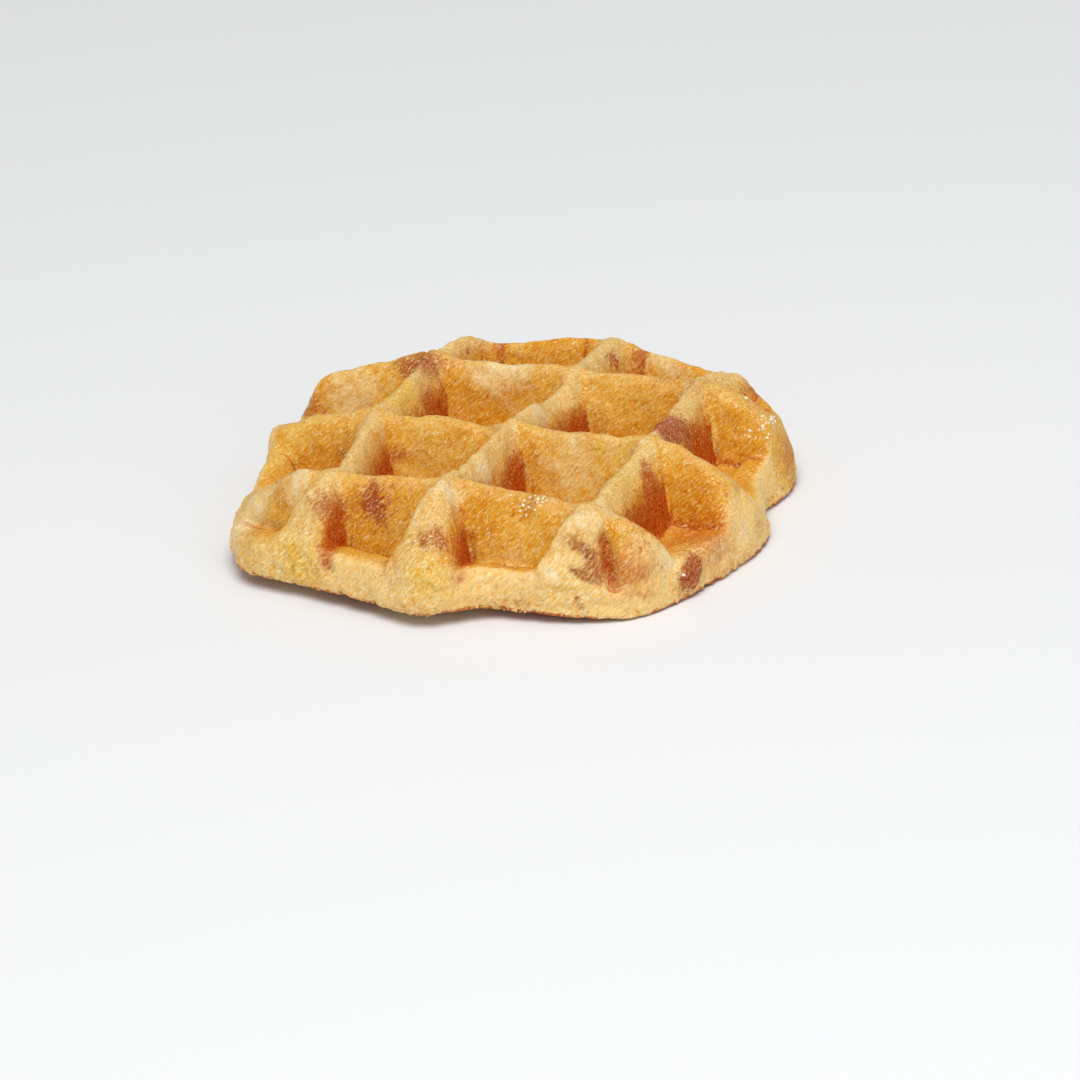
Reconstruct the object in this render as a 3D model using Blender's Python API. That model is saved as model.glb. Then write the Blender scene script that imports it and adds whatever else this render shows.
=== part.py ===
"""A plain deep waffle, pressed by an iron of square pegs, as one solid piece of baked dough.

Metres, +Z up. The underside rests on Z = 0, the ridges run along X and Y, and the front is -Y.
"""

import bmesh
import bpy
import numpy as np

MM = 0.001

# The grid: square pits between ridges, spaced by the pegs of the iron
PITCH = 26.0 * MM
THICKNESS = 20.5 * MM
PIT_FLOOR = 6.8 * MM
# Half the width of a ridge at the floor of the pits, and the rise over run of its walls
DOWN_RIDGE = (5.4 * MM, 4.0)
CROSS_RIDGE = (6.0 * MM, 3.4)
CREST_ROUND = 4.5 * MM
CORNER_ROUND = 1.2 * MM
# Ridges that run down to the front rim widen there by this much on each side
FRONT_FLARE = 1.5 * MM
FLARE_FROM = -24.0 * MM
FLARE_LENGTH = 12.0 * MM

# The middle crossing of the ridges, from the centre that the outline is drawn about
CROSSING_FROM_CENTRE = np.array([2.0, -4.0]) * MM
# How far each crossing of the ridges is off its square place, as X, Y and height. Rows go from
# front to back, and the outer rows and columns lie beyond the rim, so they only bend the ridges.
CROSSINGS = MM * np.array([
    [[-6, 0, 0], [-11, 0, 0], [-3, 0, 0], [-7, 0, 0], [0, 0, 0]],
    [[0, 7, -12], [1.6, -0.6, -1.0], [-2.0, 0, 1.2], [-0.2, -0.8, -1.2], [0, -1, -19]],
    [[-2.5, 0, -6.0], [-0.9, 0.3, 0], [-0.9, 0.3, 0.2], [0.1, 0.4, 0.1], [0, -3, -9]],
    [[-5, -7, -4.5], [-0.5, -0.2, 0], [1.7, 0.4, -0.2], [-0.5, -0.3, 0.2], [0, 0, -11]],
    [[0, 0, 0], [3, 0, -2], [1, 0, -3], [9, 0, -7], [0, 0, 0]],
])
# Lumps and dips along the ridges: X and Y from the middle crossing, radius and height
LUMPS = MM * np.array([
    [3.0, 7.0, 5.0, 1.2],
    [3.2, 16.5, 4.5, -3.5],
    [-5.5, 0, 2.5, -0.8],
])
# Dents in the shoulder beside the two outer front ridges, given in the same way
DENTS = MM * np.array([
    [31.0, -31.6, 3.5, -7.0],
    [-38.0, -28.5, 3.6, -4.5],
])

# The rim, all the way round: values every 15 degrees, from +X towards +Y
OUTLINE_RADIUS = MM * np.array([
    48.2, 45.2, 51.4, 51.0, 47.6, 45.4, 45.3, 44.3, 46.2, 49.0, 54.3, 50.8,
    48.8, 47.6, 52.4, 54.2, 48.2, 46.4, 47.6, 42.7, 46.2, 50.0, 48.8, 48.0,
])
# How far in from the rim the dough reaches its full height
SHOULDER_WIDTH = MM * np.array([
    11, 11, 11, 12, 10, 9, 9, 9, 10, 12, 12, 8,
    3, 5, 20, 17, 13, 12, 15, 10, 7, 5, 7, 10,
])
# How round the shoulder is: 1 is a straight slope down to the rim, and 3 a full round
SHOULDER_ROUND = np.array([
    2.4, 2.4, 2.4, 2.4, 2.6, 3.0, 3.0, 3.0, 2.6, 2.2, 2.0, 2.2,
    3.0, 3.0, 1.5, 1.4, 1.4, 1.4, 1.5, 1.5, 1.8, 2.0, 2.0, 2.4,
])
# Height of the lip that closes the outermost pits, and no lip where it is as low as their floor
LIP_HEIGHT = MM * np.array([
    7, 7, 12, 15, 16, 18, 19, 19, 17, 13, 12, 8,
    11, 12, 7, 7, 7, 7, 7, 7, 7, 7, 7, 7,
])
LIP = (8.0 * MM, 3.1)
# The rim's own section, from its lower round to its upper one
RIM_LOW = 0.7 * MM
RIM_HIGH = 1.3 * MM
RIM_TOP = 4.5 * MM
RIM_LOWER_ROUND = 2.0 * MM
RIM_UPPER_ROUND = 1.5 * MM
RIM_SHOULDER = THICKNESS + 2.5 * MM
SHOULDER_BLEND = 3.0 * MM
# The front edge and its left tip lift off the table, from this far out in that direction
FRONT_LIFT = 2.4 * MM
LIFT_TOWARDS = np.array([-0.2, -0.98])
LIFT_FROM = 21.0 * MM
LIFT_LENGTH = 18.0 * MM
# How much lower the floor of the pits is where the edge is lifted, as a share of the lift
LIFT_THINNING = 1.2

# Unevenness of the dough: size up and down or sideways, and wavelength
LINE_WANDER = (0.4 * MM, 22.0 * MM)
CREST_WANDER = (0.5 * MM, 15.0 * MM)
FLOOR_WANDER = (0.35 * MM, 11.0 * MM)
# It is a sum of this many crossing sines, with turns spread about the wavelength's own. They
# seldom peak together, so their mean is scaled up to the size.
WAVE_COUNT = 6
WAVE_TURNS = (0.7, 1.4)
WAVE_GAIN = 1.6

GRID_CELLS = 150
TRIANGLES = 9000

CRUST_COLOUR = (0.62, 0.33, 0.08, 1.0)
CRUST_ROUGHNESS = 0.5


def smooth(t):
    """Eases from 0 to 1 as t does."""
    t = np.clip(t, 0, 1)
    return t * t * (3 - 2 * t)


def smooth_min(a, b, width):
    """The lower of two heights, with the corner between them rounded off."""
    return np.minimum(a, b) - np.clip(width - np.abs(a - b), 0, None) ** 2 / (4 * width)


def smooth_max(a, b, width):
    """The higher of two heights, with the corner between them filled."""
    return -smooth_min(-a, -b, width)


def waves(x, y, size, length, seed):
    """Uneven ups and downs of about this size and wavelength, from a few crossing sines."""
    random = np.random.default_rng(seed)
    total = 0
    for _ in range(WAVE_COUNT):
        heading = random.uniform(0, np.pi)
        turns = 2 * np.pi / length * random.uniform(*WAVE_TURNS)
        along = x * np.cos(heading) + y * np.sin(heading)
        total = total + np.sin(turns * along + random.uniform(0, 2 * np.pi))
    return size * WAVE_GAIN * total / WAVE_COUNT


def bumps(gx, gy, table):
    """Round lumps and dents, each with its place from the middle crossing, radius and height."""
    total = 0
    for bump_x, bump_y, radius, height in table:
        total = total + height * np.exp(-((gx - bump_x) ** 2 + (gy - bump_y) ** 2) / radius**2)
    return total


def around(values, angle):
    """A smooth closed curve through values at even steps of angle."""
    count = len(values)
    place = (angle / (2 * np.pi) * count) % count
    start = np.floor(place).astype(int)
    t = place - start
    a, b, c, d = [values[(start + step) % count] for step in (-1, 0, 1, 2)]
    return 0.5 * (2 * b + (c - a) * t + (2 * a - 5 * b + 4 * c - d) * t**2 + (3 * b - a - 3 * c + d) * t**3)


def at_crossings(x, y, which):
    """A value of the crossings, blended between them: 0 is X, 1 is Y and 2 is the height."""
    column = np.clip(x / PITCH + 2, 0, 4)
    row = np.clip(y / PITCH + 2, 0, 4)
    i = np.minimum(column.astype(int), 3)
    j = np.minimum(row.astype(int), 3)
    s = smooth(column - i)
    t = smooth(row - j)
    values = CROSSINGS[:, :, which]
    front = values[j, i] * (1 - s) + values[j, i + 1] * s
    back = values[j + 1, i] * (1 - s) + values[j + 1, i + 1] * s
    return front * (1 - t) + back * t


def from_rim(x, y):
    """The direction of a point, and how far in from the rim it lies."""
    angle = np.arctan2(y, x)
    return angle, around(OUTLINE_RADIUS, angle) - np.hypot(x, y)


def front_lift(gx, gy):
    """How far the front is lifted. gx and gy are measured from the middle crossing."""
    out = gx * LIFT_TOWARDS[0] + gy * LIFT_TOWARDS[1]
    return FRONT_LIFT * smooth((out - LIFT_FROM) / LIFT_LENGTH)


def from_ridge(place):
    """The distance to the nearest ridge line, of lines spaced by the pitch."""
    return np.abs((place / PITCH + 0.5) % 1 - 0.5) * PITCH


def wall(distance, foot, slope, floor, limit):
    """A pit's wall, rising from its foot to a rounded crest at the limit."""
    rise = smooth_max((foot - distance) * slope + floor, floor, CORNER_ROUND)
    return smooth_min(rise, limit, CREST_ROUND)


def top_height(x, y):
    """The height of the pressed face, at points measured from the outline's centre."""
    gx = x - CROSSING_FROM_CENTRE[0]
    gy = y - CROSSING_FROM_CENTRE[1]
    across = gx - at_crossings(gx, gy, 0) + waves(x, y, *LINE_WANDER, seed=3)
    along = gy - at_crossings(gx, gy, 1) + waves(x, y, *LINE_WANDER, seed=4)
    crest = THICKNESS + at_crossings(gx, gy, 2) + waves(x, y, *CREST_WANDER, seed=5)
    crest = crest + bumps(gx, gy, LUMPS)
    lift = front_lift(gx, gy)
    floor = PIT_FLOOR + waves(x, y, *FLOOR_WANDER, seed=6) - LIFT_THINNING * lift
    flare = FRONT_FLARE * smooth((FLARE_FROM - gy) / FLARE_LENGTH)
    down_ridges = wall(from_ridge(across) - flare, *DOWN_RIDGE, floor, crest)
    cross_ridges = wall(from_ridge(along), *CROSS_RIDGE, floor, crest)
    height = smooth_max(down_ridges, cross_ridges, CORNER_ROUND)
    angle, inside = from_rim(x, y)
    lip = wall(inside, *LIP, floor, np.maximum(around(LIP_HEIGHT, angle), floor))
    height = smooth_max(height, lip, CORNER_ROUND)
    limit = shoulder(angle, inside) + bumps(gx, gy, DENTS) * smooth(inside / RIM_UPPER_ROUND)
    return smooth_min(height, limit, SHOULDER_BLEND) + lift


def shoulder(angle, inside):
    """The highest that the dough stands at this distance in from the rim."""
    round_off = 1 - np.clip(inside / RIM_UPPER_ROUND, 0, 1)
    edge = RIM_HIGH + (RIM_TOP - RIM_HIGH) * np.sqrt(1 - round_off**2)
    width = around(SHOULDER_WIDTH, angle)
    slope = 1 - (1 - np.clip(inside / width, 0, 1)) ** around(SHOULDER_ROUND, angle)
    return edge + (RIM_SHOULDER - RIM_TOP) * slope + 2 * np.clip(inside - width, 0, None)


def underside_height(x, y):
    """The underside is flat, and rounds up to the rim."""
    _, inside = from_rim(x, y)
    round_off = 1 - np.clip(inside / RIM_LOWER_ROUND, 0, 1)
    rounded = RIM_LOW * (1 - np.sqrt(1 - round_off**2))
    return rounded + front_lift(x - CROSSING_FROM_CENTRE[0], y - CROSSING_FROM_CENTRE[1])


def plan(square):
    """Moves a square's points, from -1 to 1 both ways, out to the waffle's outline."""
    across, along = square[:, 0], square[:, 1]
    disc_x = across * np.sqrt(1 - along**2 / 2)
    disc_y = along * np.sqrt(1 - across**2 / 2)
    radius = around(OUTLINE_RADIUS, np.arctan2(disc_y, disc_x))
    return disc_x * radius, disc_y * radius


def box_middle():
    """The middle of the outline's box, which the finished piece is centred on."""
    angle = np.linspace(0, 2 * np.pi, 721)
    radius = around(OUTLINE_RADIUS, angle)
    x, y = radius * np.cos(angle), radius * np.sin(angle)
    return (x.min() + x.max()) / 2, (y.min() + y.max()) / 2


def place(verts, height):
    """Sets points of a unit grid in plan, at the height that a function gives there."""
    x, y = plan(np.array([vert.co[:2] for vert in verts]))
    middle_x, middle_y = box_middle()
    for vert, point in zip(verts, np.stack([x - middle_x, y - middle_y, height(x, y)], axis=1)):
        vert.co = point


def waffle_mesh():
    """A grid extruded once: its lower copy is the underside, and its upper one the pressed face."""
    bm = bmesh.new()
    bmesh.ops.create_grid(bm, x_segments=GRID_CELLS, y_segments=GRID_CELLS, size=1)
    lower = bm.verts[:]
    grown = bmesh.ops.extrude_face_region(bm, geom=bm.faces[:])
    upper = [item for item in grown["geom"] if isinstance(item, bmesh.types.BMVert)]
    place(upper, top_height)
    place(lower, underside_height)
    bmesh.ops.recalc_face_normals(bm, faces=bm.faces[:])
    mesh = bpy.data.meshes.new("waffle")
    bm.to_mesh(mesh)
    bm.free()
    mesh.shade_smooth()
    return mesh


def crust_material():
    """Browned dough with a faint satin gloss."""
    material = bpy.data.materials.new("baked_crust")
    material.use_nodes = True
    shader = material.node_tree.nodes["Principled BSDF"]
    shader.inputs["Base Color"].default_value = CRUST_COLOUR
    shader.inputs["Roughness"].default_value = CRUST_ROUGHNESS
    shader.inputs["Metallic"].default_value = 0.0
    return material


def thin_out(piece):
    """Merges the grid's triangles where the form is plain, down to the number wanted."""
    thin = piece.modifiers.new("thin_out", "DECIMATE")
    thin.ratio = TRIANGLES / (2 * len(piece.data.polygons))


def main():
    for old in list(bpy.data.objects):
        bpy.data.objects.remove(old)
    collection = bpy.data.collections.new("plain_waffle")
    bpy.context.scene.collection.children.link(collection)
    waffle = bpy.data.objects.new("waffle", waffle_mesh())
    waffle.data.materials.append(crust_material())
    collection.objects.link(waffle)
    thin_out(waffle)


main()
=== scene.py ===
"""A plain deep waffle: pressed dough with a baked crust, torn rim, crumbs and grains of sugar.

The dough starts as a flat closed blank that carries the uneven places of its ridges and rim. A
tree of Geometry Nodes presses the pits into it by the rule of the iron, and roughens its skin.
Metres, +Z up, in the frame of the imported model. The front is -Y.
"""

import math
from functools import partial

import bpy
import numpy as np
from mathutils import Matrix, Vector


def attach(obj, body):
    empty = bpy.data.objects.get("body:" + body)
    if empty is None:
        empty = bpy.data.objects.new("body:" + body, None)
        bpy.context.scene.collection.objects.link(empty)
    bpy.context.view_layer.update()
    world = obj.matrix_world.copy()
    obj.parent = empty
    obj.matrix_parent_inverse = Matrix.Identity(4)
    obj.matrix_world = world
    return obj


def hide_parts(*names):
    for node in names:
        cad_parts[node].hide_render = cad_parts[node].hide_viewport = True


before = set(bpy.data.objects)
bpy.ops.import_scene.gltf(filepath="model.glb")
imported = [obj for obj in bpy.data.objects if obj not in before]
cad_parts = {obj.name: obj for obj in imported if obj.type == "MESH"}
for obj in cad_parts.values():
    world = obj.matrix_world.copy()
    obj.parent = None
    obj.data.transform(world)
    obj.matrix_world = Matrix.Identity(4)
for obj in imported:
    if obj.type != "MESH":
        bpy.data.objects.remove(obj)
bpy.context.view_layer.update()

bl_info = {
    "name": "Plain waffle",
    "version": (1, 0, 0),
    "blender": (4, 5, 0),
    "location": "3D Viewport > Sidebar > Waffle",
    "description": "Builds a plain deep waffle and the stage that it is shown on",
    "category": "Add Mesh",
}

MM = 0.001
FLOAT = "NodeSocketFloat"
# Where a Mix node has its two colours and the mixed one
MIX_FROM = 6
MIX_TO = 7
MIXED = 2

# The middle crossing of the ridges, from the centre that the outline is drawn about
CROSSING_FROM_CENTRE = np.array([2.0, -4.0]) * MM
# How far each crossing of the ridges is off its square place, as X, Y and height. Rows go from
# front to back, and the outer rows and columns lie beyond the rim, so they only bend the ridges.
CROSSINGS = MM * np.array([
    [[-6, 0, 0], [-11, 0, 0], [-3, 0, 0], [-7, 0, 0], [0, 0, 0]],
    [[0, 7, -12], [1.6, -0.6, -1.0], [-2.0, 0, 1.2], [-0.2, -0.8, -1.2], [0, -1, -19]],
    [[-2.5, 0, -6.0], [-0.9, 0.3, 0], [-0.9, 0.3, 0.2], [0.1, 0.4, 0.1], [0, -3, -9]],
    [[-5, -7, -4.5], [-0.5, -0.2, 0], [1.7, 0.4, -0.2], [-0.5, -0.3, 0.2], [0, 0, -11]],
    [[0, 0, 0], [3, 0, -2], [1, 0, -3], [9, 0, -7], [0, 0, 0]],
])
# Lumps and dips along the ridges: X and Y from the middle crossing, radius and height
LUMPS = MM * np.array([
    [3.0, 7.0, 5.0, 1.2],
    [3.2, 16.5, 4.5, -3.5],
    [-5.5, 0, 2.5, -0.8],
])
# Dents in the shoulder beside the two outer front ridges, given in the same way
DENTS = MM * np.array([
    [31.0, -31.6, 3.5, -7.0],
    [-38.0, -28.5, 3.6, -4.5],
])

# The rim, all the way round: values every 15 degrees, from +X towards +Y
OUTLINE_RADIUS = MM * np.array([
    48.2, 45.2, 51.4, 51.0, 47.6, 45.4, 45.3, 44.3, 46.2, 49.0, 54.3, 50.8,
    48.8, 47.6, 52.4, 54.2, 48.2, 46.4, 47.6, 42.7, 46.2, 50.0, 48.8, 48.0,
])
# How far in from the rim the dough reaches its full height
SHOULDER_WIDTH = MM * np.array([
    11, 11, 11, 12, 10, 9, 9, 9, 10, 12, 12, 8,
    3, 5, 20, 17, 13, 12, 15, 10, 7, 5, 7, 10,
])
# How round the shoulder is: 1 is a straight slope down to the rim, and 3 a full round
SHOULDER_ROUND = np.array([
    2.4, 2.4, 2.4, 2.4, 2.6, 3.0, 3.0, 3.0, 2.6, 2.2, 2.0, 2.2,
    3.0, 3.0, 1.5, 1.4, 1.4, 1.4, 1.5, 1.5, 1.8, 2.0, 2.0, 2.4,
])
# Height of the lip that closes the outermost pits, and no lip where it is as low as their floor
LIP_HEIGHT = MM * np.array([
    7, 7, 12, 15, 16, 18, 19, 19, 17, 13, 12, 8,
    11, 12, 7, 7, 7, 7, 7, 7, 7, 7, 7, 7,
])
LIP = (8.0 * MM, 3.1)
# The rim's own section, from its lower round to its upper one
RIM_LOW = 0.7 * MM
RIM_HIGH = 1.3 * MM
RIM_TOP = 4.5 * MM
RIM_LOWER_ROUND = 2.0 * MM
RIM_UPPER_ROUND = 1.5 * MM
SHOULDER_ABOVE = 2.5 * MM
SHOULDER_CLEARING = 2.0
SHOULDER_BLEND = 3.0 * MM
# Ridges that run down to the front rim widen there by this much on each side
FRONT_FLARE = 1.5 * MM
FLARE_FROM = -24.0 * MM
FLARE_LENGTH = 12.0 * MM
# The front edge and its left tip lift off the table, from this far out in that direction
FRONT_LIFT = 2.4 * MM
LIFT_TOWARDS = np.array([-0.2, -0.98])
LIFT_FROM = 21.0 * MM
LIFT_LENGTH = 18.0 * MM
# How much lower the floor of the pits is where the edge is lifted, as a share of the lift
LIFT_THINNING = 1.2

# Unevenness of the dough: size up and down or sideways, and wavelength
LINE_WANDER = (0.4 * MM, 22.0 * MM)
CREST_WANDER = (0.5 * MM, 15.0 * MM)
FLOOR_WANDER = (0.35 * MM, 11.0 * MM)
WAVE_COUNT = 6
WAVE_TURNS = (0.7, 1.4)
WAVE_GAIN = 1.6

# The dough's skin draws its crests round, which lowers them, so the crests and the lip are pressed
# this much higher, and so is the shoulder from this far in
CREST_SINK = 0.8 * MM
SINK_BEGINS = 3 * MM

# The blank's cells across, and how often and how softly its points are spread over the form
BLANK_CELLS = 260
SPREAD_ROUNDS = 4
SPREAD_SOFTENING = 8
# The share of all faces that stays when the plain underside is thinned out
KEPT_SHARE = 0.66
# Steps round the outline when its box is measured
OUTLINE_STEPS = 721

# Where the crust took another colour: X, Y and Z on the waffle in millimetres, radius and strength
SPOTS = {
    "brown": [
        [-21.2, -35.3, 17.3, 3.0, 0.9], [1.4, -40.6, 16.2, 1.7, 0.8], [16.8, -30.6, 19.7, 2.2, 0.7],
        [27.4, -36.2, 14.4, 1.5, 0.6], [17.0, -39.3, 3.9, 0.9, 0.8], [27.2, -37.9, 3.9, 1.4, 0.6],
        [-46.1, 13.8, 11.6, 2.8, 0.8], [-28.1, 20.4, 19.3, 2.6, 0.9], [-24.2, 18.5, 20.8, 3.2, 1.0],
        [-30.5, -6.3, 14.2, 1.5, 0.7], [-12.7, 38.2, 15.0, 1.2, 0.6], [28.9, 20.8, 21.0, 2.4, 0.6],
        [34.4, 33.8, 14.8, 2.6, 0.8], [28.1, -20.4, 19.9, 1.4, 0.7], [42.8, -22.3, 5.0, 2.0, 0.7],
        [48.3, -1.4, 4.7, 2.0, 0.5], [-2.8, -1.9, 19.9, 1.5, 0.6], [21.7, 24.1, 20.7, 1.5, 0.5],
        [42.8, -22.2, 5.3, 2.2, 0.9], [42.1, -24.3, 3.0, 1.6, 0.8], [29.4, -36.1, 10.8, 1.4, 0.7],
        [30.4, -35.9, 9.2, 1.4, 0.9], [29.6, -36.0, 12.0, 1.7, 0.8], [26.0, -36.2, 15.4, 1.2, 0.5],
        [28.6, -36.0, 13.0, 1.4, 0.8], [2.4, -41.4, 14.5, 1.8, 0.8],
    ],
    # walls that browned more than the rest
    "hot": [
        [-12.9, -32.9, 14.1, 6.0, 0.3], [-40.9, -11.3, 11.6, 5.0, 0.3], [39.9, -8.2, 12.6, 5.0, 0.3],
        [-15.8, 19.1, 11.5, 6.0, 0.2], [-34.2, -34.4, 9.3, 3.0, 0.3], [-13.1, -6.1, 15.5, 4.0, 0.1],
        [35.8, -32.4, 8.9, 3.8, 0.9], [-38.1, -35.2, 7.8, 4.0, 0.25], [37.6, -28.6, 14.0, 2.6, 0.2],
        [41.0, -14.0, 7.2, 5.0, 1.1], [9.5, -33.5, 15.5, 4.5, 0.35], [-4.5, -43.0, 10.5, 3.0, 0.3],
        [11.8, 40.7, 16.9, 5.0, 0.25], [44.6, 24.5, 7.0, 4.5, 0.9], [17.8, 20.0, 16.9, 5.0, 0.1],
        [1.9, 46.5, 11.0, 5.0, 0.6], [-29.0, 37.0, 9.0, 5.0, 0.6], [35.0, 38.5, 8.0, 4.5, 0.6],
        [-47.5, 5.0, 5.0, 5.0, 0.5], [18.0, 44.0, 4.0, 4.0, 0.5],
    ],
    # walls that browned less
    "mild": [
        [17.9, -5.6, 16.7, 9.0, 1.2], [9.9, 20.1, 16.0, 6.0, 0.7], [16.1, -33.2, 13.8, 6.0, 0.4],
        [-35.7, 16.8, 14.0, 6.0, 0.9], [-8.0, -33.0, 12.0, 3.0, 0.3], [-14.0, 19.5, 15.0, 4.0, 0.3],
        [-5.0, -45.0, 3.0, 6.0, 0.5], [42.0, -22.0, 8.0, 5.0, 0.6], [-14.1, -6.3, 15.0, 6.0, 0.8],
    ],
    "red": [
        [-13.0, -32.1, 16.7, 3.0, 1.0], [-23.8, 18.3, 20.8, 1.2, 0.7], [-20.6, 31.6, 18.1, 1.0, 0.8],
        [30.5, -35.5, 10.6, 1.8, 0.2], [29.2, 5.0, 20.3, 3.4, 1.4], [31.2, 10.2, 16.1, 2.0, 0.9],
        [6.7, 36.0, 16.8, 2.2, 0.7], [37.2, -10.1, 7.2, 1.2, 0.4], [42.6, -10.1, 8.0, 1.2, 0.4],
        [42.9, -22.4, 4.6, 2.2, 0.8],
    ],
    # Darker places: partly deeper browning, partly painted shade in the flanks and creases
    "dark": [
        [-19.4, -34.3, 15.0, 1.8, 0.8], [-19.6, -37.0, 11.3, 2.0, 0.9], [-19.5, -40.1, 8.8, 1.8, 0.8],
        [4.2, -32.2, 16.8, 1.3, 0.7], [5.4, -33.5, 12.6, 1.4, 0.8], [6.3, -37.0, 10.0, 1.5, 0.9],
        [6.7, -41.7, 8.8, 1.3, 0.8], [31.4, 13.2, 15.5, 1.8, 0.8], [32.5, 13.1, 10.7, 1.8, 0.8],
        [-20.2, -9.7, 12.3, 1.6, 0.7], [5.1, -7.6, 13.2, 1.8, 0.8], [4.5, -8.2, 15.4, 2.8, 0.8],
        [-21.1, 13.4, 16.0, 2.8, 0.8], [6.2, 12.7, 15.3, 2.0, 0.8], [-20.8, -7.0, 14.0, 2.2, 0.7],
        [32.1, -10.1, 14.6, 2.6, 0.6], [11.0, -1.6, 20.5, 2.0, 0.5], [15.0, -1.6, 20.3, 2.2, 0.5],
        [19.5, -1.8, 20.0, 2.2, 0.5], [8.0, -29.8, 21.7, 1.8, 0.3], [11.4, -29.6, 21.4, 1.8, 0.3],
        [38.5, -27.2, 13.6, 4.0, 0.25], [42.8, -22.3, 5.0, 2.4, 0.4], [30.3, -9.6, 19.7, 1.4, 0.5],
        [31.1, -10.6, 17.7, 1.6, 0.5], [31.8, -11.9, 15.0, 1.6, 0.8],
    ],
    # Cream: pale dough, and on the buttresses and crests partly painted highlights
    "cream": [
        [-28.0, -30.9, 18.8, 3.2, 0.8], [-37.4, -27.7, 12.4, 3.0, 0.8], [-40.7, -31.0, 7.9, 3.0, 0.7],
        [2.3, -33.2, 21.4, 2.4, 1.0], [26.7, -35.0, 18.8, 3.0, 0.7], [21.6, -38.1, 10.4, 2.4, 0.7],
        [31.1, -29.2, 18.5, 2.6, 0.7], [37.3, -28.9, 14.6, 3.0, 0.2], [40.4, -26.3, 9.0, 2.6, 0.8],
        [-38.4, 16.2, 14.4, 4.0, 0.8], [3.0, -19.1, 19.8, 2.6, 0.9], [-16.2, 38.3, 16.4, 2.4, 0.4],
        [9.8, 40.8, 16.6, 4.0, 0.5], [16.6, 39.3, 15.2, 2.6, 0.6], [4.4, 5.7, 20.0, 2.4, 0.8],
        [47.4, -6.6, 5.7, 2.4, 0.7], [45.3, -14.7, 6.0, 2.4, 0.8], [44.9, 22.7, 5.6, 3.6, 0.1],
        [-44.3, -7.1, 12.4, 3.2, 0.2], [-41.9, -13.9, 10.7, 2.8, 0.2], [13.4, -34.6, 9.1, 2.0, 0.4],
        [-10.1, 23.7, 20.2, 5.0, 1.0], [13.7, -5.9, 15.4, 6.0, 0.5],
    ],
    "gold": [
        [-25.2, -39.8, 7.0, 4.0, 0.9], [1.8, -44.4, 9.9, 3.8, 0.8], [35.5, -31.4, 14.6, 0.8, 0.8],
        [28.6, -16.7, 19.7, 3.0, 0.7], [-24.6, 5.7, 20.4, 5.0, 0.9], [24.3, -38.2, 7.2, 2.5, 0.5],
        [-38.2, -25.8, 12.8, 4.0, 0.7], [-43.6, -10.6, 12.0, 3.5, 0.8], [-36.3, -36.6, 8.1, 3.5, 0.6],
        [-39.2, -5.2, 16.1, 3.0, 0.6], [-41.9, 14.7, 12.7, 4.0, 0.5], [11.8, 40.7, 16.9, 5.0, 0.5],
        [44.3, 25.4, 8.3, 4.0, 0.9], [45.0, 23.1, 5.4, 4.0, 0.9], [-15.3, 38.5, 16.6, 2.0, 0.4],
        [-15.0, 42.5, 6.0, 7.0, 0.8], [22.0, 43.5, 8.0, 7.0, 0.8], [-43.0, 28.0, 6.0, 6.0, 0.7],
    ],
    # burst sugar on the underside, in dark glossy patches
    "caramel": [
        [-22.0, -20.0, 0.0, 3.2, 1.0], [-18.5, -22.0, 0.0, 2.2, 1.0], [14.0, 9.0, 0.0, 2.8, 1.0],
        [33.0, -12.0, 0.0, 2.4, 1.0], [-6.0, 30.0, 0.0, 2.0, 1.0],
    ],
    # where grains of sugar lie on the crust
    "sugar": [
        [17.1, -31.0, 19.3, 1.3, 1.0], [18.0, -29.7, 19.8, 1.0, 1.0], [22.4, -32.0, 18.3, 0.5, 0.8],
        [29.7, -32.5, 19.0, 0.5, 0.8], [24.4, -29.4, 19.6, 0.5, 0.8], [39.4, 18.9, 13.6, 0.6, 1.0],
        [41.7, 20.2, 14.7, 1.6, 1.0], [42.8, 21.8, 13.2, 1.0, 0.8], [42.2, 24.1, 13.9, 1.2, 1.0],
        [39.2, 22.6, 16.5, 1.2, 0.6], [41.9, -24.1, 5.1, 0.5, 0.9], [33.0, 32.1, 16.3, 0.5, 0.7],
    ],
}
# Folds and swellings: how uneven their edges are, how far they stand out, and their spots, given
# in the same way
RELIEF_SPOTS = {
    # the fold between the right front ridge and the dome beside it, which the colours darken with painted
    # shade
    "groove": (0.2 * MM, -2.2 * MM, [
        [31.2, -33.4, 16.0, 0.8, 0.4], [31.8, -33.6, 14.3, 1.0, 0.7], [32.2, -34.0, 12.1, 1.1, 0.8],
        [32.5, -34.2, 9.9, 1.1, 0.8], [33.0, -34.4, 7.7, 1.0, 0.7], [33.4, -34.6, 6.2, 0.8, 0.4],
    ]),
    # where the dough swelled free of the iron: the feet of the front ridges, the ends and a lump
    "swell": (0.5 * MM, 1.1 * MM, [
        [1.8, -42.8, 10.0, 4.0, 1.0], [22.5, -38.5, 9.0, 3.6, 0.7], [-25.5, -38.5, 9.0, 4.0, 0.6],
        [37.0, -30.5, 12.0, 4.0, 0.6], [42.7, -22.6, 5.0, 2.6, 1.0], [-43.5, -26.5, 8.0, 4.0, 0.5],
    ]),
}
# How far a spot spreads for its radius, and what pulls its round uneven
SPOT_SPREAD = 1.3
SPOT_UNEVEN = 1.0 * MM
SPOT_WAVELENGTH = 6 * MM
SPOT_SEEDS = (11, 12, 13)

# How the colours follow the form. Each pair is where a colour begins or ends and the width that
# it fades over: as distances from a ridge's line, the rim or the table, or as shares of the depth
# from a crest to the floor of a pit.
RIDGES_MEET = 1.6 * MM
RIDGE_TOP = (4.2 * MM, 3.0 * MM)
CROSS_TOP = (3.2 * MM, 2.0 * MM)
FLANK_BEGINS = (1.8 * MM, 3.0 * MM)
FLANK_ENDS = (7.2 * MM, 1.6 * MM)
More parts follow.
